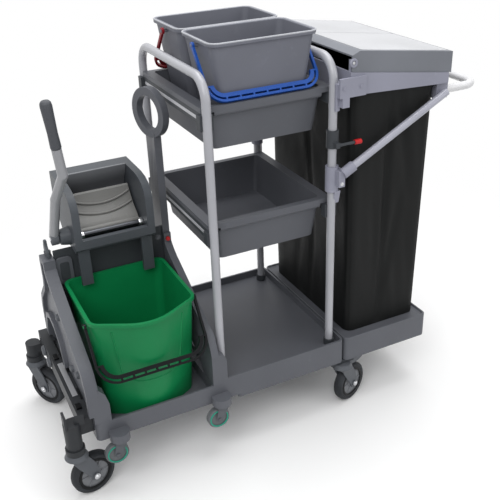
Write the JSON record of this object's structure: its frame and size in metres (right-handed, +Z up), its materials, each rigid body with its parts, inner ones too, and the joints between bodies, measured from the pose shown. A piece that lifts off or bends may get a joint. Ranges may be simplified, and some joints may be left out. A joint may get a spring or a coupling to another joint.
{
  "type": "janitor cart",
  "caption": "Janitor cart on swivel castors: mop bucket with lever press, tube hoops with trays and pails, lidded waste bag holder and push handle.",
  "frame": {"origin": "centre of the bounding box in plan, on the floor under the large wheels", "axes": "+X towards the push handle, -Y to the near side with the bowed bucket front, +Z up"},
  "size_m": [1.2532, 0.5678, 1.098],
  "materials": {
    "deck_grey": "lightly grained moulded plastic",
    "dark_plastic": "satin moulded plastic",
    "hoop_tube": "smooth paint",
    "handle_tube": "smooth pale paint",
    "brace_tube": "smooth paint",
    "steel": "bright zinc",
    "chrome_rod": "polished",
    "pail_grey": "smooth",
    "bail_blue": "smooth",
    "bail_red": "smooth",
    "bucket_green": "smooth",
    "press_grey": "satin",
    "press_pale": "satin",
    "lever_metal": "worn paint",
    "grip_dark": "satin",
    "bag_frame_grey": "satin",
    "lid_pale": "satin",
    "bag_black": "coated woven cloth",
    "signal_red": "smooth",
    "fork_grey": "satin",
    "hub_grey": "satin",
    "tyre_black": "smooth rubber",
    "roller_grey": "smooth"
  },
  "bodies": {
    "cart": {"base_deck": "deck_grey", "bag_deck": "deck_grey", "left_arm": "deck_grey", "right_arm": "deck_grey", "ring_handle": "deck_grey", "upper_tray": "deck_grey", "middle_tray": "deck_grey", "link_beam": "dark_plastic", "caster_beam": "dark_plastic", "wringer_bracket": "dark_plastic", "hoop_collars": "dark_plastic", "rail_clips": "dark_plastic", "hook_clip": "dark_plastic", "frame_clamps": "bag_frame_grey", "brace_sockets": "bag_frame_grey", "left_hoop": "hoop_tube", "right_hoop": "hoop_tube", "tray_rails": "dark_plastic", "push_handle": "handle_tube", "braces": "brace_tube", "beam_plate": "steel", "lid_pins": "steel", "bag_frame": "bag_frame_grey", "waste_bag": "bag_black", "hook_tip": "signal_red"},
    "lock_button": {"lock_button": "signal_red"},
    "bucket": {"mop_bucket": "bucket_green"},
    "bucket_bail": {"mop_bucket_bail": "dark_plastic"},
    "pail_near": {"near_pail": "pail_grey"},
    "pail_far": {"far_pail": "pail_grey"},
    "bail_near": {"near_pail_bail": "bail_blue"},
    "bail_far": {"far_pail_bail": "bail_red"},
    "press": {"wringer_body": "press_grey", "press_rod": "chrome_rod"},
    "press_lever": {"press_plate": "press_pale", "press_shaft": "chrome_rod", "wringer_lever": "lever_metal", "lever_grip": "grip_dark"},
    "bin_lid": {"lid": "lid_pale"},
    "large_nl_swivel": {"large_nl_fork": "fork_grey"},
    "large_nl_wheel": {"large_nl_hub": "hub_grey", "large_nl_tyre": "tyre_black"},
    "small_nl_swivel": {"small_nl_fork": "fork_grey"},
    "small_nl_roller": {"small_nl_wheel": "roller_grey"},
    "large_fl_swivel": {"large_fl_fork": "fork_grey"},
    "large_fl_wheel": {"large_fl_hub": "hub_grey", "large_fl_tyre": "tyre_black"},
    "small_fl_swivel": {"small_fl_fork": "fork_grey"},
    "small_fl_roller": {"small_fl_wheel": "roller_grey"},
    "large_nr_swivel": {"large_nr_fork": "fork_grey"},
    "large_nr_wheel": {"large_nr_hub": "hub_grey", "large_nr_tyre": "tyre_black"},
    "small_nr_swivel": {"small_nr_fork": "fork_grey"},
    "small_nr_roller": {"small_nr_wheel": "roller_grey"},
    "large_fr_swivel": {"large_fr_fork": "fork_grey"},
    "large_fr_wheel": {"large_fr_hub": "hub_grey", "large_fr_tyre": "tyre_black"},
    "small_fr_swivel": {"small_fr_fork": "fork_grey"},
    "small_fr_roller": {"small_fr_wheel": "roller_grey"}
  },
  "joints": [
    {"name": "bucket_lift", "type": "slide", "parent": "cart", "child": "bucket", "axis": [0, 0, 1], "range_m": [0, 0.08]},
    {"name": "bucket_bail_swing", "type": "hinge", "parent": "bucket", "child": "bucket_bail", "pos_m": [-0.374, -0.17, 0.462], "axis": [-1, 0, 0], "range_deg": [0, 140]},
    {"name": "near_pail_lift", "type": "slide", "parent": "cart", "child": "pail_near", "axis": [0, 0, 1], "range_m": [0, 0.2]},
    {"name": "near_bail_swing", "type": "hinge", "parent": "pail_near", "child": "bail_near", "pos_m": [-0.014, -0.097, 1.08], "axis": [-1, 0, 0], "range_deg": [0, 140]},
    {"name": "far_pail_lift", "type": "slide", "parent": "cart", "child": "pail_far", "axis": [0, 0, 1], "range_m": [0, 0.2]},
    {"name": "far_bail_swing", "type": "hinge", "parent": "pail_far", "child": "bail_far", "pos_m": [-0.014, 0.097, 1.08], "axis": [1, 0, 0], "range_deg": [0, 140]},
    {"name": "press_lift", "type": "slide", "parent": "cart", "child": "press", "axis": [0, 0, 1], "range_m": [0, 0.15]},
    {"name": "lever_pull", "type": "hinge", "parent": "press", "child": "press_lever", "pos_m": [-0.367, 0.065, 0.599], "axis": [1, 0, 0], "range_deg": [0, 40], "stiffness_Nm_per_rad": 2, "springref_deg": -20.05},
    {"name": "lid_open", "type": "hinge", "parent": "cart", "child": "bin_lid", "pos_m": [0.196, 0, 1.018], "axis": [0, -1, 0], "range_deg": [0, 85]},
    {"name": "button_press", "type": "slide", "parent": "cart", "child": "lock_button", "axis": [0, 1, 0], "range_m": [0, 0.004], "stiffness_N_per_m": 300},
    {"name": "large_nl_turn", "type": "hinge", "parent": "cart", "child": "large_nl_swivel", "pos_m": [-0.6, -0.228, 0.14], "axis": [0, 0, 1], "continuous": true},
    {"name": "large_nl_roll", "type": "hinge", "parent": "large_nl_swivel", "child": "large_nl_wheel", "pos_m": [-0.56492, -0.2199, 0.06], "axis": [-0.225, 0.9744, 0], "continuous": true},
    {"name": "small_nl_turn", "type": "hinge", "parent": "cart", "child": "small_nl_swivel", "pos_m": [-0.49, -0.258, 0.18], "axis": [0, 0, 1], "continuous": true},
    {"name": "small_nl_roll", "type": "hinge", "parent": "small_nl_swivel", "child": "small_nl_roller", "pos_m": [-0.504, -0.258, 0.13], "axis": [0, 1, 0], "continuous": true},
    {"name": "large_fl_turn", "type": "hinge", "parent": "cart", "child": "large_fl_swivel", "pos_m": [-0.6, 0.228, 0.14], "axis": [0, 0, 1], "continuous": true},
    {"name": "large_fl_roll", "type": "hinge", "parent": "large_fl_swivel", "child": "large_fl_wheel", "pos_m": [-0.57935, 0.19851, 0.06], "axis": [0.8192, 0.5736, 0], "continuous": true},
    {"name": "small_fl_turn", "type": "hinge", "parent": "cart", "child": "small_fl_swivel", "pos_m": [-0.49, 0.258, 0.18], "axis": [0, 0, 1], "continuous": true},
    {"name": "small_fl_roll", "type": "hinge", "parent": "small_fl_swivel", "child": "small_fl_roller", "pos_m": [-0.504, 0.258, 0.13], "axis": [0, 1, 0], "continuous": true},
    {"name": "large_nr_turn", "type": "hinge", "parent": "cart", "child": "large_nr_swivel", "pos_m": [0.19, -0.23, 0.14], "axis": [0, 0, 1], "continuous": true},
    {"name": "large_nr_roll", "type": "hinge", "parent": "large_nr_swivel", "child": "large_nr_wheel", "pos_m": [0.22361, -0.2171, 0.06], "axis": [-0.3584, 0.9336, 0], "continuous": true},
    {"name": "small_nr_turn", "type": "hinge", "parent": "cart", "child": "small_nr_swivel", "pos_m": [-0.207, -0.258, 0.18], "axis": [0, 0, 1], "continuous": true},
    {"name": "small_nr_roll", "type": "hinge", "parent": "small_nr_swivel", "child": "small_nr_roller", "pos_m": [-0.221, -0.258, 0.13], "axis": [0, 1, 0], "continuous": true},
    {"name": "large_fr_turn", "type": "hinge", "parent": "cart", "child": "large_fr_swivel", "pos_m": [0.19, 0.23, 0.14], "axis": [0, 0, 1], "continuous": true},
    {"name": "large_fr_roll", "type": "hinge", "parent": "large_fr_swivel", "child": "large_fr_wheel", "pos_m": [0.22118, 0.212, 0.06], "axis": [0.5, 0.866, 0], "continuous": true},
    {"name": "small_fr_turn", "type": "hinge", "parent": "cart", "child": "small_fr_swivel", "pos_m": [-0.207, 0.258, 0.18], "axis": [0, 0, 1], "continuous": true},
    {"name": "small_fr_roll", "type": "hinge", "parent": "small_fr_swivel", "child": "small_fr_roller", "pos_m": [-0.221, 0.258, 0.13], "axis": [0, 1, 0], "continuous": true}
  ]
}
